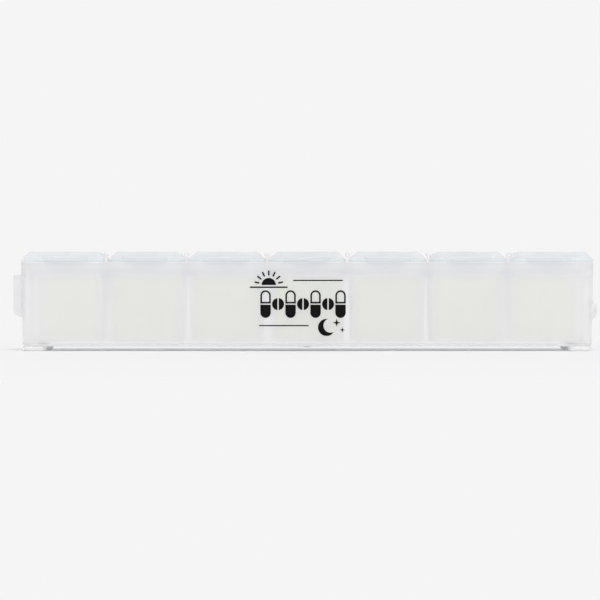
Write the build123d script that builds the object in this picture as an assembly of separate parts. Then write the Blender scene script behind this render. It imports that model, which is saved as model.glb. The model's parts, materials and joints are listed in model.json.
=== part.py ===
from build123d import *
import os
from math import atan2, cos, degrees, radians, sin, sqrt, tan

# Weekly pill box: a drafted tray of compartments in one row, each shut by its own
# hinged lid. X runs along the row, the front is -Y, and the feet stand on Z = 0.

# Tray
cell_count = 7
cell_pitch = 22.4            # middle of one partition to the middle of the next
partition = 1.1              # thickness at the rim
wall = 1.3                   # front and rear walls at the rim
end_wall = 2.2               # end walls at the rim
floor_thickness = 1.4
tray_depth = 30.0            # front to rear at the rim
tray_height = 23.6           # underside to rim
draft = 1.3                  # lean of every upright moulded face, in degrees
corner_radius = 4.0          # upright corners of the tray and of the lids over it
base_round = 0.8
rim_round = 0.25
pocket_corner_radius = 2.2
pocket_floor_round = 1.0
peg_radius = 0.45            # stems of the pegs on the front rim between the lids
peg_head_radius = 0.68
peg_flat = 0.25              # radius of the flat on top of a peg's head
peg_height = 2.6
peg_inset = 0.9              # peg's middle behind the tray's front

# Lids
lid_height = 2.9             # rim to lid top
band_height = 0.7            # upright edge of a lid, below its sloping crown
crown_inset = 2.4            # how far the crown slopes in from the lid's edge
crown_round = 1.8
shoulder_round = 1.1
lid_foot_round = 0.1
top_thickness = 1.0
roof_corner_radius = 0.4     # corners of the hollow's ceiling
panel_sink = 0.3             # sunk panel for a number on a lid's top
panel_rim = 0.9              # flat rim between the crown and the panel
panel_corner_radius = 1.0
lid_gap = 0.6                # between neighbouring lids
seat_gap = 0.05              # between a shut lid and the rim
plug_depth = 3.2             # how far a lid's ring reaches into its compartment
plug_thickness = 0.9
plug_gap = 0.25              # between the ring and the compartment's walls
plug_draft = 5.0             # lean of the ring's outside, in degrees
lip_chord = 12.6
lip_reach = 2.2
lip_thickness = 1.4
lip_round = 0.45

# Hinges
lid_opening = 115.0          # swing of a lid, in degrees
barrel_radius = 1.6
neck_thickness = 0.8         # leaf between a lid and its barrel
hinge_gap = 0.3              # between a barrel and the tray's rear wall
ear_half_width = 0.9
ear_side_gap = 0.25          # between a barrel's end and the ear beside it
ear_drop = 6.0               # rim down to where an ear runs out in the rear wall
ear_heel = 2.0               # rim down to where an ear's rear face starts to slope
ear_step = 0.2               # ear's top below the rim, in front of its knuckle
pin_radius = 0.75
pin_reach = 0.6              # length of a pin inside an ear
pin_end_gap = 0.1
pin_running_gap = 0.05
pin_press = 0.01
pin_chamfer = 0.15
snap_squeeze = 0.3           # an ear's snap-in slot is this much narrower than the pin
stop_width = 5.0
stop_reach = 3.2
stop_gap = 0.15              # between a stop heel and the rear wall at full swing
stop_round = 0.3

# Feet
foot_height = 1.3
foot_length = 6.6
foot_depth = 5.6
foot_corner_radius = 2.4
foot_round = 0.9
foot_overhang = 0.7          # foot past the edge of the flat underside
spigot_radius = 1.5
spigot_gap = 0.03
spigot_end_gap = 0.1
socket_floor = 0.5           # floor left above a foot's socket

# End lug and end boss
lug_reach = 2.7
lug_slant = 1.5              # slope under the lug
lug_width = 10.0
lug_height = 12.4
lug_below_rim = 3.5
lug_round = 0.3
rib_reach = 0.8
rib_width = 4.0
rib_below_rim = 0.3
boss_reach = 2.4
boss_span = 6.7
boss_flat = 0.6              # radius of the flat at the boss's tip
boss_below_rim = 13.45

# Worked out from the sizes above
fillet_share = 0.85          # the most of a wall that a rounded edge may take
row_half = cell_count * cell_pitch / 2
tray_length = 2 * row_half - partition + 2 * end_wall
pocket_length = cell_pitch - partition
pocket_depth = tray_depth - 2 * wall
z_rim = foot_height + tray_height
z_floor = foot_height + floor_thickness
z_top = z_rim + lid_height
z_lid = z_rim + seat_gap
z_neck = z_lid + neck_thickness
hinge_offset = barrel_radius + hinge_gap
crown_height = z_top - z_lid - band_height
crown_slope = degrees(atan2(crown_inset, crown_height))
barrel_half = cell_pitch / 2 - ear_half_width - ear_side_gap
pin_half = cell_pitch / 2 - ear_half_width + pin_reach
pin_bore_depth = pin_reach + pin_end_gap
stop_front = hinge_offset - stop_gap
swing = radians(lid_opening)
stop_rear = stop_reach * sin(swing) - stop_front * cos(swing)
rear_reach = hinge_offset + max(barrel_radius, stop_rear)
tray_y = (lip_reach - rear_reach) / 2
tray_front = tray_y - tray_depth / 2
tray_rear = tray_y + tray_depth / 2
axis_y = tray_rear + hinge_offset
axis_z = z_neck - barrel_radius


def rounding(radius, *walls):
    """A rounding that its walls leave room for."""
    return min([radius] + [fillet_share * thickness for thickness in walls])


def lean(drop):
    """How far a drafted outer face has moved inwards at a drop below the rim."""
    return drop * tan(radians(draft))


def drafted_block(length, depth, corner, height, angle):
    """A rounded block with its widest face at z = 0, narrowing downwards."""
    upright = extrude(RectangleRounded(length, depth, corner), amount=height, taper=angle)
    return Rot(180, 0, 0) * upright


def lowest_edges(shape):
    return shape.faces().sort_by(Axis.Z)[0].edges()


def highest_edges(shape):
    return shape.faces().sort_by(Axis.Z)[-1].edges()


def along_x(profile, x_start, x_end):
    """A (y, z) outline carried along the row."""
    return extrude(Plane.YZ.offset(x_start) * profile, amount=x_end - x_start)


def round_bar(radius, x_start, x_end):
    """A bar on the hinge axis."""
    return along_x(Pos(axis_y, axis_z) * Circle(radius), x_start, x_end)


def block_between(low, high):
    """A plain block from its lowest corner to its highest."""
    size = Vector(high) - Vector(low)
    return Pos(*low) * Box(*size, align=(Align.MIN, Align.MIN, Align.MIN))


def cell_x(index):
    """Middle of a compartment along the row."""
    return (index + 0.5) * cell_pitch - row_half


def make_pocket(index):
    pocket = drafted_block(pocket_length, pocket_depth, pocket_corner_radius, z_rim - z_floor, draft)
    corner_at_floor = pocket_corner_radius - lean(z_rim - z_floor)
    pocket = fillet(lowest_edges(pocket), rounding(pocket_floor_round, corner_at_floor))
    return Pos(cell_x(index), tray_y, z_rim) * pocket


def make_ear(boundary):
    """A hinge ear on the rear wall: a round knuckle on a web that runs out down the wall."""
    root_y = tray_rear - 2 * wall
    web = make_face(
        Polyline(
            (root_y, z_rim - ear_step),
            (axis_y, z_rim - ear_step),
            (axis_y + barrel_radius, axis_z),
            (axis_y + barrel_radius, z_rim - ear_heel),
            (root_y, z_rim - ear_drop),
            close=True,
        )
    )
    knuckle = Pos(axis_y, axis_z) * Circle(barrel_radius)
    return along_x(web + knuckle, boundary - ear_half_width, boundary + ear_half_width)


def make_pin_seat(x_face, direction):
    """A pin's bore in an ear, with the slot that the pin snaps in through from above."""
    x_start, x_end = sorted((x_face, x_face + direction * pin_bore_depth))
    slot_half = pin_radius - snap_squeeze / 2
    slot = block_between(
        (x_start, axis_y - slot_half, axis_z),
        (x_end, axis_y + slot_half, axis_z + 2 * barrel_radius),
    )
    return round_bar(pin_radius + pin_running_gap, x_start, x_end) + slot


def make_peg(boundary):
    """A peg with a ball head on the front rim, in the notch between two lids."""
    middle = peg_height - sqrt(peg_head_radius**2 - peg_flat**2)
    neck = middle - sqrt(peg_head_radius**2 - peg_radius**2)
    tip = (peg_flat, peg_height)
    outline = [
        Polyline(tip, (0, peg_height), (0, -wall), (peg_radius, -wall), (peg_radius, neck)),
        ThreePointArc((peg_radius, neck), (peg_head_radius, middle), tip),
    ]
    peg = revolve(Plane.XZ * make_face(outline), Axis.Z)
    return Pos(boundary, tray_front + peg_inset, z_rim) * peg


def make_lug():
    """The end lug on the left: a flat pad with a chamfered foot and a thin rib above it."""
    end_x = -tray_length / 2
    root_x = end_x + wall
    top = z_rim - lug_below_rim
    foot = top - lug_height
    side = make_face(
        Polyline(
            (root_x, top),
            (end_x - lug_reach, top),
            (end_x - lug_reach, foot + lug_slant),
            (end_x, foot),
            (root_x, foot),
            close=True,
        )
    )
    pad = extrude(Plane.XZ.offset(-tray_y) * side, amount=lug_width / 2, both=True)
    pad = fillet(pad.faces().sort_by(Axis.X)[0].edges(), rounding(lug_round, lug_reach))
    rib = block_between(
        (end_x - rib_reach, tray_y - rib_width / 2, top - lug_reach),
        (root_x, tray_y + rib_width / 2, z_rim - rib_below_rim),
    )
    return pad + rib


def make_boss():
    """The low dome on the right end, rooted in the end wall."""
    rim_radius = boss_span / 2
    dome_middle = (boss_reach**2 + boss_flat**2 - rim_radius**2) / (2 * boss_reach)
    dome_radius = sqrt(dome_middle**2 + rim_radius**2)
    root_x = -wall / 2
    tip = (boss_reach, boss_flat)
    outline = [
        Polyline(tip, (boss_reach, 0), (root_x, 0), (root_x, rim_radius), (0, rim_radius)),
        RadiusArc((0, rim_radius), tip, dome_radius),
    ]
    dome = revolve(make_face(outline), Axis.X)
    end_x = tray_length / 2 - lean(boss_below_rim)
    return Pos(end_x, tray_y, z_rim - boss_below_rim) * dome


def foot_place(side_x, side_y):
    """Middle of a corner foot on the tray's flat underside."""
    margin = lean(tray_height) + base_round - foot_overhang
    x = tray_length / 2 - margin - foot_length / 2
    y = tray_depth / 2 - margin - foot_depth / 2
    return side_x * x, tray_y + side_y * y


def make_foot(side_x, side_y):
    """A soft foot with a spigot that presses into a socket under the tray's floor."""
    pad = extrude(RectangleRounded(foot_length, foot_depth, foot_corner_radius), amount=foot_height)
    pad = fillet(lowest_edges(pad), rounding(foot_round, foot_height, foot_corner_radius))
    x, y = foot_place(side_x, side_y)
    spigot_height = floor_thickness - socket_floor - spigot_end_gap
    spigot = extrude(Pos(x, y, foot_height) * Circle(spigot_radius), amount=spigot_height)
    return Pos(x, y) * pad + spigot


def make_socket(side_x, side_y):
    x, y = foot_place(side_x, side_y)
    socket = Pos(x, y, foot_height) * Circle(spigot_radius + spigot_gap)
    return extrude(socket, amount=floor_thickness - socket_floor)


def make_tray():
    block = drafted_block(tray_length, tray_depth, corner_radius, tray_height, draft)
    corner_at_base = corner_radius - lean(tray_height)
    block = fillet(lowest_edges(block), rounding(base_round, corner_at_base))
    block = fillet(highest_edges(block), rounding(rim_round, wall))
    tray = Pos(0, tray_y, z_rim) * block
    tray += make_lug() + make_boss()
    for index in range(cell_count + 1):
        boundary = index * cell_pitch - row_half
        ear = make_ear(boundary)
        if index > 0:
            ear -= make_pin_seat(boundary - ear_half_width, 1)
        if index < cell_count:
            ear -= make_pin_seat(boundary + ear_half_width, -1)
        tray += ear
        if 0 < index < cell_count:
            tray += make_peg(boundary)
    for index in range(cell_count):
        tray -= make_pocket(index)
    for side_x in (-1, 1):
        for side_y in (-1, 1):
            tray -= make_socket(side_x, side_y)
    return tray


def make_lip(middle_x):
    """A crescent for the thumb on a lid's front edge."""
    radius = (lip_chord**2 / 4 + lip_reach**2) / (2 * lip_reach)
    disc = Pos(middle_x, tray_front - lip_reach + radius) * Circle(radius)
    strip_depth = lip_reach + lip_thickness * crown_inset / crown_height
    strip_y = tray_front - lip_reach + strip_depth / 2
    strip = Pos(middle_x, strip_y) * Rectangle(2 * radius, strip_depth)
    crescent = extrude(Pos(0, 0, z_lid) * (disc & strip), amount=lip_thickness)
    arcs = crescent.edges().filter_by(GeomType.CIRCLE)
    return fillet(arcs, rounding(lip_round, lip_thickness / 2))


def make_stop(middle_x):
    """The heel that meets the rear wall at full swing, shown where it is with the lid shut."""
    heel = block_between(
        (-stop_width / 2, -stop_front, -stop_reach),
        (stop_width / 2, 0, 0),
    )
    heel = fillet(lowest_edges(heel), rounding(stop_round, stop_front / 2))
    return Pos(middle_x, axis_y, axis_z) * Rot(lid_opening, 0, 0) * heel


def make_crown(length):
    """A lid's plate: an upright edge, a crown that slopes in and a sunk panel on top."""
    outline = RectangleRounded(length, tray_depth, corner_radius)
    plate = extrude(outline, amount=band_height)
    plate += extrude(Pos(0, 0, band_height) * outline, amount=crown_height, taper=crown_slope)
    plate = fillet(lowest_edges(plate), rounding(lid_foot_round, band_height / 2))
    top_corner = corner_radius - crown_inset
    plate = fillet(highest_edges(plate), rounding(crown_round, crown_height, top_corner * 2.5))
    shoulder = plate.edges().filter_by_position(Axis.Z, band_height, band_height)
    plate = fillet(shoulder, rounding(shoulder_round, crown_height / 2, band_height * 2))
    inset = crown_inset + panel_rim
    panel = RectangleRounded(length - 2 * inset, tray_depth - 2 * inset, panel_corner_radius)
    top = band_height + crown_height
    return plate - extrude(Pos(0, 0, top - panel_sink) * panel, amount=panel_sink)


def make_hollow():
    """The space inside a lid: upright within the ring, then narrowing under the crown."""
    inset = plug_gap + plug_thickness
    length = pocket_length - 2 * inset
    depth = pocket_depth - 2 * inset
    rise = z_top - top_thickness - z_lid
    roof_inset = rise * crown_inset / crown_height
    ring = RectangleRounded(length, depth, pocket_corner_radius - inset)
    roof = RectangleRounded(length, depth, roof_inset + roof_corner_radius)
    depth_in_ring = z_lid - z_rim + plug_depth
    hollow = extrude(ring, amount=depth_in_ring)
    return hollow + extrude(Pos(0, 0, depth_in_ring) * roof, amount=rise, taper=crown_slope)


def make_lid(index):
    middle_x = cell_x(index)
    inner_half = (cell_pitch - lid_gap) / 2
    outer_half = tray_length / 2 - row_half + cell_pitch / 2
    left = middle_x - (outer_half if index == 0 else inner_half)
    right = middle_x + (outer_half if index == cell_count - 1 else inner_half)
    lid = Pos((left + right) / 2, tray_y, z_lid) * make_crown(right - left)
    plug = drafted_block(
        pocket_length - 2 * plug_gap,
        pocket_depth - 2 * plug_gap,
        pocket_corner_radius - plug_gap,
        plug_depth + seat_gap,
        plug_draft,
    )
    lid += Pos(middle_x, tray_y, z_lid) * plug
    lid += make_lip(middle_x)
    lid += block_between(
        (middle_x - barrel_half, tray_rear - wall, z_lid),
        (middle_x + barrel_half, axis_y, z_neck),
    )
    lid += round_bar(barrel_radius, middle_x - barrel_half, middle_x + barrel_half)
    lid += make_stop(middle_x)
    lid -= Pos(middle_x, tray_y, z_rim - plug_depth) * make_hollow()
    lid -= round_bar(pin_radius - pin_press, middle_x - barrel_half, middle_x + barrel_half)
    return lid


def make_pin(index):
    middle_x = cell_x(index)
    pin = round_bar(pin_radius, middle_x - pin_half, middle_x + pin_half)
    return chamfer(pin.edges().filter_by(GeomType.CIRCLE), rounding(pin_chamfer, pin_radius))


pieces = {"tray": make_tray()}
for index in range(cell_count):
    pieces[f"lid_{index + 1}"] = make_lid(index)
    pieces[f"hinge_pin_{index + 1}"] = make_pin(index)
for name_x, side_x in (("left", -1), ("right", 1)):
    for name_y, side_y in (("front", -1), ("rear", 1)):
        pieces[f"foot_{name_y}_{name_x}"] = make_foot(side_x, side_y)

os.makedirs("parts", exist_ok=True)
for name, piece in pieces.items():
    export_step(piece, f"parts/{name}.step")
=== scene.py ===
import json
import math
from typing import NamedTuple

import bmesh
import bpy
from bpy.props import FloatProperty, FloatVectorProperty, PointerProperty
from mathutils import Matrix, Vector


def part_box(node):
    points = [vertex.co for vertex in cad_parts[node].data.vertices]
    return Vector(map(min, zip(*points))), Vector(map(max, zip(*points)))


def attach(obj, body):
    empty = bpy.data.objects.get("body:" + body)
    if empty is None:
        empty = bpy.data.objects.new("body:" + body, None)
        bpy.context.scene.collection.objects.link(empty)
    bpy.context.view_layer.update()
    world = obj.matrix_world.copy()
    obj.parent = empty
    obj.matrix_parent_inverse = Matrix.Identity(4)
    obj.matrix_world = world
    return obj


bl_info = {
    "name": "Weekly Pill Box",
    "version": (1, 0, 0),
    "blender": (4, 5, 0),
    "location": "View3D > Sidebar > Pill Box",
    "description": "Finishes a frosted weekly pill box with numbers, a front print and a studio",
    "category": "Object",
}

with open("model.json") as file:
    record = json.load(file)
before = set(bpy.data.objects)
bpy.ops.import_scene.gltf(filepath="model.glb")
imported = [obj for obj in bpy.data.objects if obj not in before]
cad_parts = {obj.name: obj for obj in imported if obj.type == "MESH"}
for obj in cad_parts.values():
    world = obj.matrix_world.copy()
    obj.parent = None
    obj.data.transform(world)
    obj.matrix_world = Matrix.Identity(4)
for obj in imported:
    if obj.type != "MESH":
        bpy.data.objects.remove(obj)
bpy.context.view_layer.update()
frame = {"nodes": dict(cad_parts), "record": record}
DAYS = tuple(range(1, 8))
FEET = tuple(sorted(name for name in frame["nodes"] if name.startswith("foot_")))
MM = 0.001

# The picture's frame, in pixels
FRAME_SIDE = 600

# How far added relief and ink reach into the plastic that carries them
SINK = 0.01 * MM

# Size at which a number is drawn before it is brought to its own height
FIGURE_SIZE = 10 * MM

# Points of a number that are nearer than this are one point
WELD = 0.0005 * MM

# Where the tray's thin panes begin and end
RING_DEPTH = 3.6 * MM  # from the rim down to the panes' upper ends
PANE_HEAD = 1.4 * MM  # a pane fades in over this height below the ring
PANE_FOOT = 2.0 * MM  # and over this height above the compartment's floor
PANE_SIDE = (10.2 * MM, 8.5 * MM)  # no pane and full pane, from a compartment's middle
PANE_END = (2.8 * MM, 4.4 * MM)  # no pane and full pane, from the end of the row

# Where the tray's plastic is denser than in its panes, and where its rim is painted lighter against
# the shade under the lids' lips
DENSE_COVER = 0.92
END_STEP = 0.2 * MM  # the lug and the boss are dense past the lids' ends
LOWER_EDGE = (0.8 * MM, 0.4 * MM)  # not dense and dense, above the tray's underside
RIM_FADE = (-0.8 * MM, 2.6 * MM)  # no painted lightening and full painted lightening of the rim, above the panes' upper ends
# Share of the full dense cover that the rim gets: painted light that lightens the shade under the
# lids' lips
RIM_PAINTED_LIGHT_SHARE = 0.62

# The front print, in millimetres from its middle
DOSE_HEIGHT = -0.4
DOSE_MIDDLE = 0.85
DOSE_PITCH = 3.48
CAPSULE_TIP = 3.85
CAPSULE_RADIUS = 1.46
CAPSULE_SEAM = 0.16  # from the capsule's middle to each half
CAPSULE_LINE = 0.48
TABLET_RADIUS = 1.68
TABLET_SCORE = 0.36
SUN_PLACE = (-8.7, 4.9)
SUN_RADIUS = 2.0
HORIZON_DROP = 0.6
RAY_COUNT = 7
RAY_REACH = 3.35
RAY_FIRST = math.radians(12)
RAY_STEP = math.radians(26)
RULE_PLACES = ((5.0, 6.2), (-4.5, -6.4))
MOON_PLACE = (7.4, -6.9)
MOON_TURN = math.radians(25)
STARS = ((1.15, 0.36, (10.2, -5.6)), (0.8, 0.26, (11.8, -7.6)))  # reach, waist and place

# Mould marks
EJECTOR_RADIUS = 2.2 * MM
EJECTOR_LINE = 0.15 * MM
EJECTOR_RISE = 0.05 * MM
GATE_PROFILE = ((1.1, -SINK / MM), (1.05, 0.22), (0.85, 0.36), (0.5, 0.4))  # radius and drop in mm

# Studio
FLOOR_HALF = 6.0
FLOOR_FADE = (0.12, 0.34)  # the floor turns into the backdrop between these distances
KEY_TOWARDS = Vector((0.06, -0.72, 0.92))
KEY_SPREAD = math.radians(24)
CAMERA_CLIP = (0.01, 50)


class Finish(NamedTuple):
    """How a frosted plastic takes the light."""

    deepen: float  # shade of the clouds in it
    cover: float  # share of its surface that isn't clear
    transmission: float
    roughness: float
    grain_scale: float


TRAY_FINISH = Finish(0.985, cover=0.46, transmission=0.3, roughness=0.35, grain_scale=2600.0)
LID_FINISH = Finish(0.99, cover=0.42, transmission=0.3, roughness=0.32, grain_scale=2600.0)
NUMBER_FINISH = Finish(0.97, cover=0.92, transmission=0.0, roughness=0.4, grain_scale=2600.0)
FOOT_FINISH = Finish(0.98, cover=0.85, transmission=0.0, roughness=0.5, grain_scale=1800.0)


class PillBoxSizes(bpy.types.PropertyGroup):
    """Sizes of the numbers, the print and the mould marks."""

    number_height: FloatProperty(
        name="Number height",
        description="Height of the raised number on each lid",
        default=9.0 * MM,
        unit="LENGTH",
    )
    number_rise: FloatProperty(
        name="Number rise",
        description="How far a number stands up from its sunk panel",
        default=0.24 * MM,
        unit="LENGTH",
    )
    number_edge: FloatProperty(
        name="Number edge",
        description="Softness of a number's edges",
        default=0.06 * MM,
        unit="LENGTH",
    )
    number_weight: FloatProperty(
        name="Number weight",
        description="How much the strokes of a number are widened",
        default=0.1 * MM,
        unit="LENGTH",
    )
    panel_sink: FloatProperty(
        name="Panel sink",
        description="Depth of the sunk panel in a lid's top",
        default=0.3 * MM,
        unit="LENGTH",
    )
    wall_lean: FloatProperty(
        name="Wall lean",
        description="Lean of the tray's front wall",
        default=math.radians(1.3),
        subtype="ANGLE",
    )
    rim_height: FloatProperty(
        name="Rim height",
        description="Height of the tray's rim above the table",
        default=24.9 * MM,
        unit="LENGTH",
    )
    floor_height: FloatProperty(
        name="Floor height",
        description="Height of the compartments' floors above the table",
        default=2.7 * MM,
        unit="LENGTH",
    )
    print_height: FloatProperty(
        name="Print height",
        description="Height of the middle of the front print above the table",
        default=13.5 * MM,
        unit="LENGTH",
    )
    print_offset: FloatProperty(
        name="Print offset",
        description="Middle of the front print along the row",
        default=-2.0 * MM,
        unit="LENGTH",
    )
    ink_thickness: FloatProperty(
        name="Ink thickness",
        description="Thickness of the printed ink",
        default=0.03 * MM,
        unit="LENGTH",
    )


class PillBoxColours(bpy.types.PropertyGroup):
    """Colours of the plastics, the ink and the studio."""

    tray: FloatVectorProperty(
        name="Tray",
        description="Frosted plastic of the tray",
        subtype="COLOR",
        size=3,
        min=0,
        max=1,
        default=(0.936, 0.94, 0.896),
    )
    tray_solid: FloatVectorProperty(
        name="Tray edges",
        description="Whiter plastic of the tray's partitions, floor and ends",
        subtype="COLOR",
        size=3,
        min=0,
        max=1,
        default=(0.968, 0.963, 0.975),
    )
    lid: FloatVectorProperty(
        name="Lid",
        description="Frosted plastic of the lids",
        subtype="COLOR",
        size=3,
        min=0,
        max=1,
        default=(0.9, 0.945, 0.982),
    )
    number: FloatVectorProperty(
        name="Number",
        description="Denser plastic of the raised numbers",
        subtype="COLOR",
        size=3,
        min=0,
        max=1,
        default=(0.8, 0.87, 0.93),
    )
    foot: FloatVectorProperty(
        name="Foot",
        description="Soft plastic of the feet",
        subtype="COLOR",
        size=3,
        min=0,
        max=1,
        default=(0.98, 0.98, 0.975),
    )
    steel: FloatVectorProperty(
        name="Pin steel",
        description="Steel of the hinge pins",
        subtype="COLOR",
        size=3,
        min=0,
        max=1,
        default=(0.62, 0.62, 0.63),
    )
    ink: FloatVectorProperty(
        name="Ink",
        description="Ink of the front print",
        subtype="COLOR",
        size=3,
        min=0,
        max=1,
        default=(0.004, 0.004, 0.004),
    )
    backdrop: FloatVectorProperty(
        name="Backdrop",
        description="Pale studio colour behind and under the box",
        subtype="COLOR",
        size=3,
        min=0,
        max=1,
        default=(0.913, 0.913, 0.913),
    )
    floor: FloatVectorProperty(
        name="Floor",
        description="Pale floor next to the box",
        subtype="COLOR",
        size=3,
        min=0,
        max=1,
        default=(0.92, 0.92, 0.92),
    )


class PillBoxStudio(bpy.types.PropertyGroup):
    """Camera and light."""

    camera_distance: FloatProperty(
        name="Camera distance",
        description="From the camera to the tray's front",
        default=830 * MM,
        unit="LENGTH",
    )
    pixel_size: FloatProperty(
        name="Pixel size",
        description="Width of one picture point on the tray's front",
        default=0.2784 * MM,
        unit="LENGTH",
    )
    camera_height: FloatProperty(
        name="Camera height",
        description="Height of the camera above the table",
        default=14.24 * MM,
        unit="LENGTH",
    )
    camera_side: FloatProperty(
        name="Camera side step",
        description="Camera's place along the row from the tray's middle",
        default=-2.0 * MM,
        unit="LENGTH",
    )
    sky_strength: FloatProperty(
        name="Sky strength",
        description="Even light from all round",
        default=0.695,
        min=0,
    )
    key_strength: FloatProperty(
        name="Key strength",
        description="Soft light from above in front",
        default=1.12,
        min=0,
    )


def sizes():
    return bpy.context.scene.pill_box_sizes


def colours():
    return bpy.context.scene.pill_box_colours


def studio():
    return bpy.context.scene.pill_box_studio


def opaque(colour):
    return (*colour, 1.0)


def compartment_middle(day):
    """Middle of a day's compartment, from the opening that the record states."""
    openings = frame["record"]["physics"]["openings"]
    box = next(item["box_m"] for item in openings if item["name"] == f"compartment_{day}")
    return (Vector(box[0]) + Vector(box[1])) / 2


# Shader node groups


def new_group(name, inputs, outputs):
    """An empty shader node group with named sockets; inputs carry their defaults."""
    group = bpy.data.node_groups.new(name, "ShaderNodeTree")
    for socket_name, kind, default in inputs:
        socket = group.interface.new_socket(socket_name, in_out="INPUT", socket_type=kind)
        socket.default_value = default
    for socket_name, kind in outputs:
        group.interface.new_socket(socket_name, in_out="OUTPUT", socket_type=kind)
    entry = group.nodes.new("NodeGroupInput")
    leave = group.nodes.new("NodeGroupOutput")
    return group, entry, leave


def math_node(tree, operation, first, second):
    """A Math node whose two inputs are sockets or plain numbers."""
    node = tree.nodes.new("ShaderNodeMath")
    node.operation = operation
    for socket, value in zip(node.inputs, (first, second)):
        if isinstance(value, bpy.types.NodeSocket):
            tree.links.new(value, socket)
        else:
            socket.default_value = value
    return node.outputs[0]


def noise_node(tree, place, scale, detail):
    node = tree.nodes.new("ShaderNodeTexNoise")
    tree.links.new(place, node.inputs["Vector"])
    node.inputs["Detail"].default_value = detail
    if isinstance(scale, bpy.types.NodeSocket):
        tree.links.new(scale, node.inputs["Scale"])
    else:
        node.inputs["Scale"].default_value = scale
    return node.outputs["Fac"]


def make_frost_group():
    """Fine frosting of a moulded face: a bump height and a roughness that vary over it."""
    group, entry, leave = new_group(
        "Moulded Frost",
        [
            ("Grain Scale", "NodeSocketFloat", 2600.0),
            ("Roughness Low", "NodeSocketFloat", 0.34),
            ("Roughness High", "NodeSocketFloat", 0.46),
        ],
        [("Height", "NodeSocketFloat"), ("Roughness", "NodeSocketFloat")],
    )
    place = group.nodes.new("ShaderNodeTexCoord").outputs["Object"]
    grain = noise_node(group, place, scale=entry.outputs["Grain Scale"], detail=3.0)
    cloud = noise_node(group, place, scale=110.0, detail=4.0)
    spread = math_node(
        group, "SUBTRACT", entry.outputs["Roughness High"], entry.outputs["Roughness Low"]
    )
    roughness = math_node(
        group, "ADD", entry.outputs["Roughness Low"], math_node(group, "MULTIPLY", spread, cloud)
    )
    group.links.new(grain, leave.inputs["Height"])
    group.links.new(roughness, leave.inputs["Roughness"])
    return group


def make_flow_group():
    """Faint clouding where the plastic flowed and cooled: a colour between two tints."""
    group, entry, leave = new_group(
        "Flow Clouding",
        [
            ("Thin Tint", "NodeSocketColor", (1, 1, 1, 1)),
            ("Thick Tint", "NodeSocketColor", (1, 1, 1, 1)),
            ("Cloud Scale", "NodeSocketFloat", 60.0),
        ],
        [("Colour", "NodeSocketColor")],
    )
    place = group.nodes.new("ShaderNodeTexCoord").outputs["Object"]
    cloud = noise_node(group, place, scale=entry.outputs["Cloud Scale"], detail=2.0)
    mix = group.nodes.new("ShaderNodeMix")
    mix.data_type = "RGBA"
    group.links.new(cloud, mix.inputs["Factor"])
    group.links.new(entry.outputs["Thin Tint"], mix.inputs["A"])
    group.links.new(entry.outputs["Thick Tint"], mix.inputs["B"])
    group.links.new(mix.outputs["Result"], leave.inputs["Colour"])
    return group


def shared_group(name, maker):
    return bpy.data.node_groups.get(name) or maker()


def new_material(name):
    """A node material with its Principled shader."""
    material = bpy.data.materials.new(name)
    material.use_nodes = True
    return material, material.node_tree, material.node_tree.nodes["Principled BSDF"]


def place_group(tree, group, values):
    node = tree.nodes.new("ShaderNodeGroup")
    node.node_tree = group
    for socket_name, value in values.items():
        node.inputs[socket_name].default_value = value
    return node


def add_bump(tree, shader, height, strength, distance):
    bump = tree.nodes.new("ShaderNodeBump")
    bump.inputs["Strength"].default_value = strength
    bump.inputs["Distance"].default_value = distance
    tree.links.new(height, bump.inputs["Height"])
    tree.links.new(bump.outputs["Normal"], shader.inputs["Normal"])


def frosted_plastic(name, colour, finish):
    """Translucent frosted plastic with fine grain, flow clouding and an uneven sheen."""
    material, tree, shader = new_material(name)
    shader.inputs["IOR"].default_value = 1.4
    shader.inputs["Transmission Weight"].default_value = finish.transmission
    shader.inputs["Alpha"].default_value = finish.cover
    shader.inputs["Coat Weight"].default_value = 0.3
    shader.inputs["Coat Roughness"].default_value = 0.2
    spread = 0.06
    frost = place_group(
        tree,
        shared_group("Moulded Frost", make_frost_group),
        {
            "Grain Scale": finish.grain_scale,
            "Roughness Low": finish.roughness - spread,
            "Roughness High": finish.roughness + spread,
        },
    )
    flow = place_group(
        tree,
        shared_group("Flow Clouding", make_flow_group),
        {
            "Thin Tint": opaque(colour),
            "Thick Tint": opaque(channel * finish.deepen for channel in colour),
        },
    )
    tree.links.new(flow.outputs["Colour"], shader.inputs["Base Color"])
    tree.links.new(frost.outputs["Roughness"], shader.inputs["Roughness"])
    add_bump(tree, shader, frost.outputs["Height"], strength=0.12, distance=0.05 * MM)
    return material


def tray_place(tree):
    """Distance along the row from the tray's middle, and height above the table."""
    place = tree.nodes.new("ShaderNodeSeparateXYZ")
    tree.links.new(tree.nodes.new("ShaderNodeTexCoord").outputs["Object"], place.inputs[0])
    return math_node(tree, "ABSOLUTE", place.outputs["X"], 0), place.outputs["Z"]


def soft_step(tree, value, none, full):
    """Rises smoothly from 0 where the value is none to 1 where it is full."""
    step = tree.nodes.new("ShaderNodeMapRange")
    step.interpolation_type = "SMOOTHSTEP"
    step.inputs["From Min"].default_value = min(none, full)
    step.inputs["From Max"].default_value = max(none, full)
    step.inputs["To Min"].default_value = 0.0 if none < full else 1.0
    step.inputs["To Max"].default_value = 1.0 if none < full else 0.0
    tree.links.new(value, step.inputs["Value"])
    return step.outputs["Result"]


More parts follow.
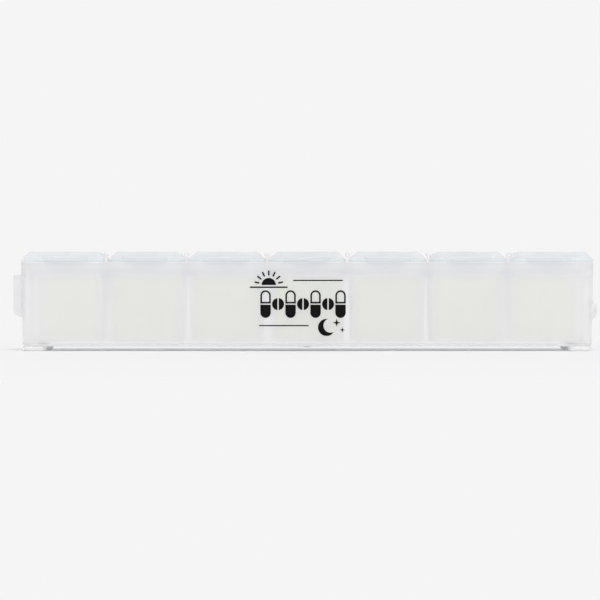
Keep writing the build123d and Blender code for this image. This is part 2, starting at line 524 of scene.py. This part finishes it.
def pane_mask(tree):
    """1 on the thin panes of the front and rear walls, 0 on partitions, floor and ends."""
    along, height = tray_place(tree)
    pitch = compartment_middle(2).x - compartment_middle(1).x
    row_end = len(DAYS) / 2 * pitch
    from_middle = math_node(tree, "PINGPONG", along, pitch / 2)
    floor = sizes().floor_height
    ring = sizes().rim_height - RING_DEPTH
    sides = (
        soft_step(tree, from_middle, *PANE_SIDE),
        soft_step(tree, along, row_end - PANE_END[0], row_end - PANE_END[1]),
        soft_step(tree, height, floor, floor + PANE_FOOT),
        soft_step(tree, height, ring, ring - PANE_HEAD),
    )
    mask = sides[0]
    for side in sides[1:]:
        mask = math_node(tree, "MULTIPLY", mask, side)
    return mask


def dense_mask(tree):
    """1 where the plastic is thickest: on the lug, the boss and the lower edge; less at the rim,
    where the raised cover is painted light against the shade under the lids' lips.
    """
    along, height = tray_place(tree)
    end = -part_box("lid_1")[0].x
    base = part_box("tray")[0].z
    ring = sizes().rim_height - RING_DEPTH
    beyond = soft_step(tree, along, end, end + END_STEP)
    lower = soft_step(tree, height, base + LOWER_EDGE[0], base + LOWER_EDGE[1])
    upper = soft_step(tree, height, ring + RIM_FADE[0], ring + RIM_FADE[1])
    # Painted light: the rim's raised cover lightens the shade under the lids' lips
    rim = math_node(tree, "MULTIPLY", upper, RIM_PAINTED_LIGHT_SHARE)
    return math_node(tree, "MAXIMUM", math_node(tree, "MAXIMUM", beyond, lower), rim)


def tray_frost(name, colour, solid_colour, finish):
    """Frosted plastic that is whiter where the tray is solid, beside and under its panes; its cover
    is raised where it is dense and, as painted light, at the rim under the lids' lips.
    """
    material = frosted_plastic(name, colour, finish)
    tree = material.node_tree
    shader = tree.nodes["Principled BSDF"]
    tint = shader.inputs["Base Color"]
    pane_tint = tint.links[0].from_socket
    mix = tree.nodes.new("ShaderNodeMix")
    mix.data_type = "RGBA"
    mix.inputs["A"].default_value = opaque(solid_colour)
    tree.links.new(pane_mask(tree), mix.inputs["Factor"])
    tree.links.new(pane_tint, mix.inputs["B"])
    tree.links.new(mix.outputs["Result"], tint)
    # Cover rises on the dense lug, boss and lower edge, and at the rim as painted light against the
    # shade under the lids' lips
    gain = math_node(tree, "MULTIPLY", dense_mask(tree), DENSE_COVER - finish.cover)
    cover = math_node(tree, "ADD", gain, finish.cover)
    tree.links.new(cover, shader.inputs["Alpha"])
    return material


def drawn_steel(name, colour):
    """Bright drawn wire with fine lines along the pin."""
    material, tree, shader = new_material(name)
    shader.inputs["Metallic"].default_value = 1.0
    place = tree.nodes.new("ShaderNodeTexCoord").outputs["Object"]
    stretch = tree.nodes.new("ShaderNodeMapping")
    stretch.inputs["Scale"].default_value = (40, 4000, 4000)
    tree.links.new(place, stretch.inputs["Vector"])
    lines = noise_node(tree, stretch.outputs["Vector"], scale=1.0, detail=3.0)
    flow = place_group(
        tree,
        shared_group("Flow Clouding", make_flow_group),
        {
            "Thin Tint": opaque(colour),
            "Thick Tint": opaque(channel * 0.85 for channel in colour),
            "Cloud Scale": 900.0,
        },
    )
    tree.links.new(flow.outputs["Colour"], shader.inputs["Base Color"])
    smoothest, spread = 0.12, 0.25
    roughness = math_node(tree, "ADD", math_node(tree, "MULTIPLY", lines, spread), smoothest)
    tree.links.new(roughness, shader.inputs["Roughness"])
    add_bump(tree, shader, lines, strength=0.1, distance=0.01 * MM)
    return material


def printed_ink(name, colour):
    """Black pad-print ink with a slightly uneven, matt film."""
    material, tree, shader = new_material(name)
    shader.inputs["Specular IOR Level"].default_value = 0.06
    frost = place_group(
        tree,
        shared_group("Moulded Frost", make_frost_group),
        {"Grain Scale": 1800.0, "Roughness Low": 0.42, "Roughness High": 0.6},
    )
    flow = place_group(
        tree,
        shared_group("Flow Clouding", make_flow_group),
        {
            "Thin Tint": opaque(channel * 2.0 for channel in colour),
            "Thick Tint": opaque(colour),
            "Cloud Scale": 700.0,
        },
    )
    tree.links.new(flow.outputs["Colour"], shader.inputs["Base Color"])
    tree.links.new(frost.outputs["Roughness"], shader.inputs["Roughness"])
    add_bump(tree, shader, frost.outputs["Height"], strength=0.1, distance=0.01 * MM)
    return material


def shared_material(name, maker, *values):
    return bpy.data.materials.get(name) or maker(name, *values)


def tray_plastic():
    tints = (colours().tray, colours().tray_solid)
    return shared_material("Frosted Tray Plastic", tray_frost, *tints, TRAY_FINISH)


def lid_plastic():
    return shared_material("Frosted Lid Plastic", frosted_plastic, colours().lid, LID_FINISH)


def number_plastic():
    return shared_material("Dense Number Plastic", frosted_plastic, colours().number, NUMBER_FINISH)


def foot_plastic():
    return shared_material("Soft Foot Plastic", frosted_plastic, colours().foot, FOOT_FINISH)


def pin_steel():
    return shared_material("Drawn Pin Steel", drawn_steel, colours().steel)


def print_ink():
    return shared_material("Black Print Ink", printed_ink, colours().ink)


def dress(node, material):
    """Gives a CAD node its finish."""
    shape = frame["nodes"][node]
    shape.data.materials.clear()
    shape.data.materials.append(material)


# Mesh helpers


def mesh_piece(name, bm, material):
    """Closes off a bmesh as a new object in the scene."""
    bmesh.ops.recalc_face_normals(bm, faces=bm.faces)
    mesh = bpy.data.meshes.new(name)
    bm.to_mesh(mesh)
    bm.free()
    mesh.materials.append(material)
    piece = bpy.data.objects.new(name, mesh)
    bpy.context.scene.collection.objects.link(piece)
    return piece


def add_prism(bm, outline, thickness):
    """A flat shape of even thickness, from z = 0 up."""
    low = [bm.verts.new((x, y, 0)) for x, y in outline]
    high = [bm.verts.new((x, y, thickness)) for x, y in outline]
    bm.faces.new(low)
    bm.faces.new(high)
    for index in range(len(outline)):
        following = (index + 1) % len(outline)
        bm.faces.new((low[index], low[following], high[following], high[index]))


def add_band(bm, outer, inner, thickness):
    """A closed band between two outlines with as many points each."""
    rings = [
        [bm.verts.new((x, y, z)) for x, y in outline]
        for outline, z in ((outer, 0), (outer, thickness), (inner, thickness), (inner, 0))
    ]
    for ring, following_ring in zip(rings, rings[1:] + rings[:1]):
        for index in range(len(outer)):
            following = (index + 1) % len(outer)
            bm.faces.new(
                (ring[index], ring[following], following_ring[following], following_ring[index])
            )


def turned(points, angle, shift):
    """Points turned about the origin and then moved."""
    c, s = math.cos(angle), math.sin(angle)
    return [(x * c - y * s + shift[0], x * s + y * c + shift[1]) for x, y in points]


def arc(radius, start, end, middle=(0, 0), steps=24):
    """Points on a circle from one angle to another, both included."""
    angles = [start + (end - start) * step / steps for step in range(steps + 1)]
    return [(middle[0] + radius * math.cos(a), middle[1] + radius * math.sin(a)) for a in angles]


def circle(radius, steps=40):
    return arc(radius, 0, 2 * math.pi, steps=steps)[:-1]


def half_capsule(flat, tip, radius):
    """Outline of the upper half of an upright capsule, from its flat cut to its round tip."""
    return [(-radius, flat), (radius, flat), *arc(radius, 0, math.pi, (0, tip - radius))]


def half_disc(radius, gap):
    """Outline of the right half of a round tablet, cut off beside its score line."""
    reach = math.acos(gap / 2 / radius)
    return arc(radius, -reach, reach)


def bar(length, thickness):
    """Outline of a rule with round ends that lies along x."""
    radius = thickness / 2
    end = length / 2 - radius
    right = arc(radius, -math.pi / 2, math.pi / 2, (end, 0), 8)
    return right + arc(radius, math.pi / 2, math.pi * 1.5, (-end, 0), 8)


def crescent(radius, bite_radius, bite_shift):
    """Outline of a moon: a disc with a round bite taken out of its right side."""
    meet_x = (radius**2 - bite_radius**2 + bite_shift**2) / (2 * bite_shift)
    meet_y = math.sqrt(radius**2 - meet_x**2)
    outer = math.atan2(meet_y, meet_x)
    inner = math.atan2(meet_y, meet_x - bite_shift)
    bite = arc(bite_radius, 2 * math.pi - inner, inner, (bite_shift, 0))
    return arc(radius, outer, 2 * math.pi - outer) + bite[1:-1]


def star(reach, waist):
    """Outline of a star with four points."""
    corners = [(reach if corner % 2 == 0 else waist, corner * math.pi / 4) for corner in range(8)]
    return [(radius * math.cos(angle), radius * math.sin(angle)) for radius, angle in corners]


class PILLBOX_OT_finish_tray(bpy.types.Operator):
    """Gives the tray its warm frosted plastic"""

    bl_idname = "pillbox.finish_tray"
    bl_label = "Finish Tray"

    def execute(self, context):
        dress("tray", tray_plastic())
        return {"FINISHED"}


class PILLBOX_OT_finish_lids(bpy.types.Operator):
    """Gives the seven lids their faintly blue frosted plastic"""

    bl_idname = "pillbox.finish_lids"
    bl_label = "Finish Lids"

    def execute(self, context):
        for day in DAYS:
            dress(f"lid_{day}", lid_plastic())
        return {"FINISHED"}


class PILLBOX_OT_finish_pins(bpy.types.Operator):
    """Gives the hinge pins their drawn steel"""

    bl_idname = "pillbox.finish_pins"
    bl_label = "Finish Hinge Pins"

    def execute(self, context):
        for day in DAYS:
            dress(f"hinge_pin_{day}", pin_steel())
        return {"FINISHED"}


class PILLBOX_OT_finish_feet(bpy.types.Operator):
    """Gives the four feet their milky soft plastic"""

    bl_idname = "pillbox.finish_feet"
    bl_label = "Finish Feet"

    def execute(self, context):
        for foot in FEET:
            dress(foot, foot_plastic())
        return {"FINISHED"}


class PILLBOX_OT_raise_numbers(bpy.types.Operator):
    """Raises a number from 1 to 7 in the sunk panel of each lid"""

    bl_idname = "pillbox.raise_numbers"
    bl_label = "Raise Numbers"

    def execute(self, context):
        for day in DAYS:
            low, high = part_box(f"lid_{day}")
            bm = number_mesh(context, str(day))
            panel = high.z - sizes().panel_sink
            place = Vector(((low.x + high.x) / 2, compartment_middle(day).y, panel))
            bmesh.ops.translate(bm, vec=place, verts=bm.verts)
            number = mesh_piece(f"number_{day}", bm, number_plastic())
            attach(number, f"day_{day}")
        return {"FINISHED"}


def number_mesh(context, figure):
    """A plain figure with soft edges, centred in x and y, with its foot just under z = 0."""
    text = bpy.data.curves.new("figure", "FONT")
    text.body = figure
    text.size = FIGURE_SIZE
    text.resolution_u = 8
    text.extrude = sizes().number_rise / 2
    text.bevel_depth = sizes().number_edge
    text.bevel_resolution = 2
    text.offset = sizes().number_weight
    shape = bpy.data.objects.new("figure", text)
    context.scene.collection.objects.link(shape)
    context.view_layer.update()
    drawn = shape.evaluated_get(context.evaluated_depsgraph_get())
    mesh = bpy.data.meshes.new_from_object(drawn)
    bpy.data.objects.remove(shape)
    bpy.data.curves.remove(text)
    bm = bmesh.new()
    bm.from_mesh(mesh)
    bpy.data.meshes.remove(mesh)
    bmesh.ops.remove_doubles(bm, verts=bm.verts, dist=WELD)
    low = Vector([min(vert.co[axis] for vert in bm.verts) for axis in range(3)])
    high = Vector([max(vert.co[axis] for vert in bm.verts) for axis in range(3)])
    middle = (low + high) / 2
    scale = sizes().number_height / (high.y - low.y)
    rise = (sizes().number_rise + SINK) / (high.z - low.z)
    for vert in bm.verts:
        vert.co.x = (vert.co.x - middle.x) * scale
        vert.co.y = (vert.co.y - middle.y) * scale
        vert.co.z = (vert.co.z - low.z) * rise - SINK
    return bm


class PILLBOX_OT_print_front(bpy.types.Operator):
    """Prints sunrise, moon and seven doses in black on the tray's front wall"""

    bl_idname = "pillbox.print_front"
    bl_label = "Print Front"

    def execute(self, context):
        bm = bmesh.new()
        for outline, turn, shift in print_shapes():
            add_prism(bm, turned(outline, turn, shift), sizes().ink_thickness + SINK)
        for outer, inner, shift in print_outlines():
            add_band(
                bm,
                turned(outer, 0, shift),
                turned(inner, 0, shift),
                sizes().ink_thickness + SINK,
            )
        bmesh.ops.scale(bm, vec=(MM, MM, 1), verts=bm.verts)
        bmesh.ops.translate(bm, vec=(0, 0, -SINK), verts=bm.verts)
        bmesh.ops.transform(bm, matrix=front_wall_place(), verts=bm.verts)
        piece = mesh_piece("front_print", bm, print_ink())
        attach(piece, "base")
        return {"FINISHED"}


def front_wall_place():
    """Places flat print, drawn in x and y, on the leaning front wall."""
    lean = sizes().wall_lean
    height = sizes().print_height
    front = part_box("tray")[0].y + math.tan(lean) * (sizes().rim_height - height)
    move = Matrix.Translation((sizes().print_offset, front, height))
    return move @ Matrix.Rotation(math.radians(90) + lean, 4, "X")


def print_shapes():
    """Solid shapes of the print in millimetres: outline, turn and place."""
    sun_x, sun_y = SUN_PLACE
    shapes = [
        (bar(length=10.6, thickness=0.42), 0, (sun_x, sun_y - HORIZON_DROP)),
        (arc(SUN_RADIUS, 0, math.pi), 0, SUN_PLACE),
        (crescent(radius=2.4, bite_radius=2.0, bite_shift=1.25), MOON_TURN, MOON_PLACE),
    ]
    shapes += [(bar(length=13.9, thickness=0.34), 0, place) for place in RULE_PLACES]
    shapes += [(star(reach, waist), 0, place) for reach, waist, place in STARS]
    for ray in range(RAY_COUNT):
        angle = RAY_FIRST + RAY_STEP * ray
        place = (sun_x + RAY_REACH * math.cos(angle), sun_y + RAY_REACH * math.sin(angle))
        shapes.append((bar(length=1.5, thickness=0.46), angle, place))
    capsule = half_capsule(CAPSULE_SEAM, CAPSULE_TIP, CAPSULE_RADIUS)
    for place in capsule_places():
        shapes.append((capsule, math.pi, place))
    tablet = half_disc(TABLET_RADIUS, TABLET_SCORE)
    for place in tablet_places():
        shapes.append((tablet, 0, place))
        shapes.append((tablet, math.pi, place))
    return shapes


def print_outlines():
    """Outlined halves of the printed capsules: outer line, inner line and place."""
    outer = half_capsule(CAPSULE_SEAM, CAPSULE_TIP, CAPSULE_RADIUS)
    inner = half_capsule(
        CAPSULE_SEAM + CAPSULE_LINE, CAPSULE_TIP - CAPSULE_LINE, CAPSULE_RADIUS - CAPSULE_LINE
    )
    return [(outer, inner, place) for place in capsule_places()]


def dose_places():
    """Places of the printed doses, one for each day."""
    middle_day = (DAYS[0] + DAYS[-1]) / 2
    return [(DOSE_MIDDLE + DOSE_PITCH * (day - middle_day), DOSE_HEIGHT) for day in DAYS]


def capsule_places():
    return dose_places()[::2]


def tablet_places():
    return dose_places()[1::2]


class PILLBOX_OT_mould_marks(bpy.types.Operator):
    """Adds the ejector rings on the compartments' floors and the gate under the tray"""

    bl_idname = "pillbox.mould_marks"
    bl_label = "Mould Marks"

    def execute(self, context):
        for day in DAYS:
            middle = compartment_middle(day)
            bm = bmesh.new()
            inside = circle(EJECTOR_RADIUS - EJECTOR_LINE)
            add_band(bm, circle(EJECTOR_RADIUS), inside, EJECTOR_RISE + SINK)
            place = (middle.x, middle.y, sizes().floor_height - SINK)
            bmesh.ops.translate(bm, vec=place, verts=bm.verts)
            self.keep(f"ejector_ring_{day}", bm)
        middle = compartment_middle(DAYS[len(DAYS) // 2])
        bm = gate_mesh()
        bmesh.ops.translate(bm, vec=(middle.x, middle.y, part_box("tray")[0].z), verts=bm.verts)
        self.keep("mould_gate", bm)
        return {"FINISHED"}

    def keep(self, name, bm):
        piece = mesh_piece(name, bm, tray_plastic())
        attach(piece, "base")


def gate_mesh():
    """The stub that is left where the plastic was fed in, hanging down from z = 0."""
    bm = bmesh.new()
    rings = [
        [bm.verts.new((x * MM, y * MM, -drop * MM)) for x, y in circle(radius, 24)]
        for radius, drop in GATE_PROFILE
    ]
    for ring, following_ring in zip(rings, rings[1:]):
        for index in range(len(ring)):
            following = (index + 1) % len(ring)
            bm.faces.new(
                (ring[index], ring[following], following_ring[following], following_ring[index])
            )
    bm.faces.new(rings[0])
    bm.faces.new(rings[-1])
    return bm


class PILLBOX_OT_set_stage(bpy.types.Operator):
    """Makes the pale floor, the soft light and the camera"""

    bl_idname = "pillbox.set_stage"
    bl_label = "Set Stage"

    def execute(self, context):
        scene = context.scene
        scene.view_settings.view_transform = "Standard"
        scene.cycles.max_bounces = 32
        scene.cycles.diffuse_bounces = 16
        scene.cycles.transmission_bounces = 32
        scene.cycles.transparent_max_bounces = 64
        make_world(scene)
        make_floor()
        make_key_light(scene)
        make_camera(scene)
        return {"FINISHED"}


def seen_ray(tree):
    """1 for rays that show the backdrop: straight, mirrored or through the plastic."""
    path = tree.nodes.new("ShaderNodeLightPath")
    seen = math_node(
        tree, "MAXIMUM", path.outputs["Is Camera Ray"], path.outputs["Is Transmission Ray"]
    )
    return math_node(tree, "MAXIMUM", seen, path.outputs["Is Glossy Ray"])


def make_world(scene):
    world = bpy.data.worlds.new("Pale Studio")
    world.use_nodes = True
    scene.world = world
    tree = world.node_tree
    light = tree.nodes["Background"]
    light.inputs["Color"].default_value = (1, 1, 1, 1)
    light.inputs["Strength"].default_value = studio().sky_strength
    shown = tree.nodes.new("ShaderNodeBackground")
    shown.inputs["Color"].default_value = opaque(colours().backdrop)
    shown.inputs["Strength"].default_value = 1.0
    mix = tree.nodes.new("ShaderNodeMixShader")
    tree.links.new(seen_ray(tree), mix.inputs["Fac"])
    tree.links.new(light.outputs["Background"], mix.inputs[1])
    tree.links.new(shown.outputs["Background"], mix.inputs[2])
    tree.links.new(mix.outputs["Shader"], tree.nodes["World Output"].inputs["Surface"])


def make_floor():
    bm = bmesh.new()
    corners = ((-1, -1), (1, -1), (1, 1), (-1, 1))
    bm.faces.new([bm.verts.new((x * FLOOR_HALF, y * FLOOR_HALF, 0)) for x, y in corners])
    material, tree, shader = new_material("Pale Floor")
    shader.inputs["Roughness"].default_value = 1.0
    shader.inputs["Specular IOR Level"].default_value = 0.0
    shader.inputs["Base Color"].default_value = opaque(colours().floor)
    place = tree.nodes.new("ShaderNodeTexCoord").outputs["Object"]
    reach = tree.nodes.new("ShaderNodeVectorMath")
    reach.operation = "LENGTH"
    tree.links.new(place, reach.inputs[0])
    far = soft_step(tree, reach.outputs["Value"], *FLOOR_FADE)
    glow = tree.nodes.new("ShaderNodeEmission")
    glow.inputs["Color"].default_value = opaque(colours().backdrop)
    far_and_seen = math_node(tree, "MULTIPLY", far, seen_ray(tree))
    mix = tree.nodes.new("ShaderNodeMixShader")
    tree.links.new(far_and_seen, mix.inputs["Fac"])
    tree.links.new(shader.outputs["BSDF"], mix.inputs[1])
    tree.links.new(glow.outputs["Emission"], mix.inputs[2])
    tree.links.new(mix.outputs["Shader"], tree.nodes["Material Output"].inputs["Surface"])
    floor = mesh_piece("floor", bm, material)


def make_key_light(scene):
    lamp = bpy.data.lights.new("soft_key", "SUN")
    lamp.energy = studio().key_strength
    lamp.angle = KEY_SPREAD
    key = bpy.data.objects.new("soft_key", lamp)
    key.rotation_euler = KEY_TOWARDS.to_track_quat("Z", "Y").to_euler()
    key.location = KEY_TOWARDS
    scene.collection.objects.link(key)


def make_camera(scene):
    data = bpy.data.cameras.new("photo_camera")
    camera = bpy.data.objects.new("photo_camera", data)
    view_width = FRAME_SIDE * studio().pixel_size
    data.lens = data.sensor_width * studio().camera_distance / view_width
    data.clip_start, data.clip_end = CAMERA_CLIP
    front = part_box("tray")[0].y
    camera.location = (
        studio().camera_side,
        front - studio().camera_distance,
        studio().camera_height,
    )
    camera.rotation_euler = (math.radians(90), 0, 0)
    scene.collection.objects.link(camera)
    scene.camera = camera


class PILLBOX_PT_sidebar(bpy.types.Panel):
    """Steps and settings of the pill box."""

    bl_idname = "PILLBOX_PT_sidebar"
    bl_label = "Weekly Pill Box"
    bl_space_type = "VIEW_3D"
    bl_region_type = "UI"
    bl_category = "Pill Box"

    def draw(self, context):
        layout = self.layout
        for step in STEPS:
            layout.operator(step.bl_idname)
        for settings in (sizes(), colours(), studio()):
            column = layout.column()
            for name in settings.__annotations__:
                column.prop(settings, name)


STEPS = (
    PILLBOX_OT_set_stage,
    PILLBOX_OT_finish_tray,
    PILLBOX_OT_finish_lids,
    PILLBOX_OT_finish_pins,
    PILLBOX_OT_finish_feet,
    PILLBOX_OT_raise_numbers,
    PILLBOX_OT_print_front,
    PILLBOX_OT_mould_marks,
)
CLASSES = (PillBoxSizes, PillBoxColours, PillBoxStudio, *STEPS, PILLBOX_PT_sidebar)


def register():
    for item in CLASSES:
        bpy.utils.register_class(item)
    bpy.types.Scene.pill_box_sizes = PointerProperty(type=PillBoxSizes)
    bpy.types.Scene.pill_box_colours = PointerProperty(type=PillBoxColours)
    bpy.types.Scene.pill_box_studio = PointerProperty(type=PillBoxStudio)


def unregister():
    del bpy.types.Scene.pill_box_studio
    del bpy.types.Scene.pill_box_colours
    del bpy.types.Scene.pill_box_sizes
    for item in reversed(CLASSES):
        bpy.utils.unregister_class(item)


def main():
    register()
    bpy.ops.pillbox.set_stage()
    bpy.ops.pillbox.finish_tray()
    bpy.ops.pillbox.finish_lids()
    bpy.ops.pillbox.finish_pins()
    bpy.ops.pillbox.finish_feet()
    bpy.ops.pillbox.raise_numbers()
    bpy.ops.pillbox.print_front()
    bpy.ops.pillbox.mould_marks()


if __name__ == "__main__":
    main()
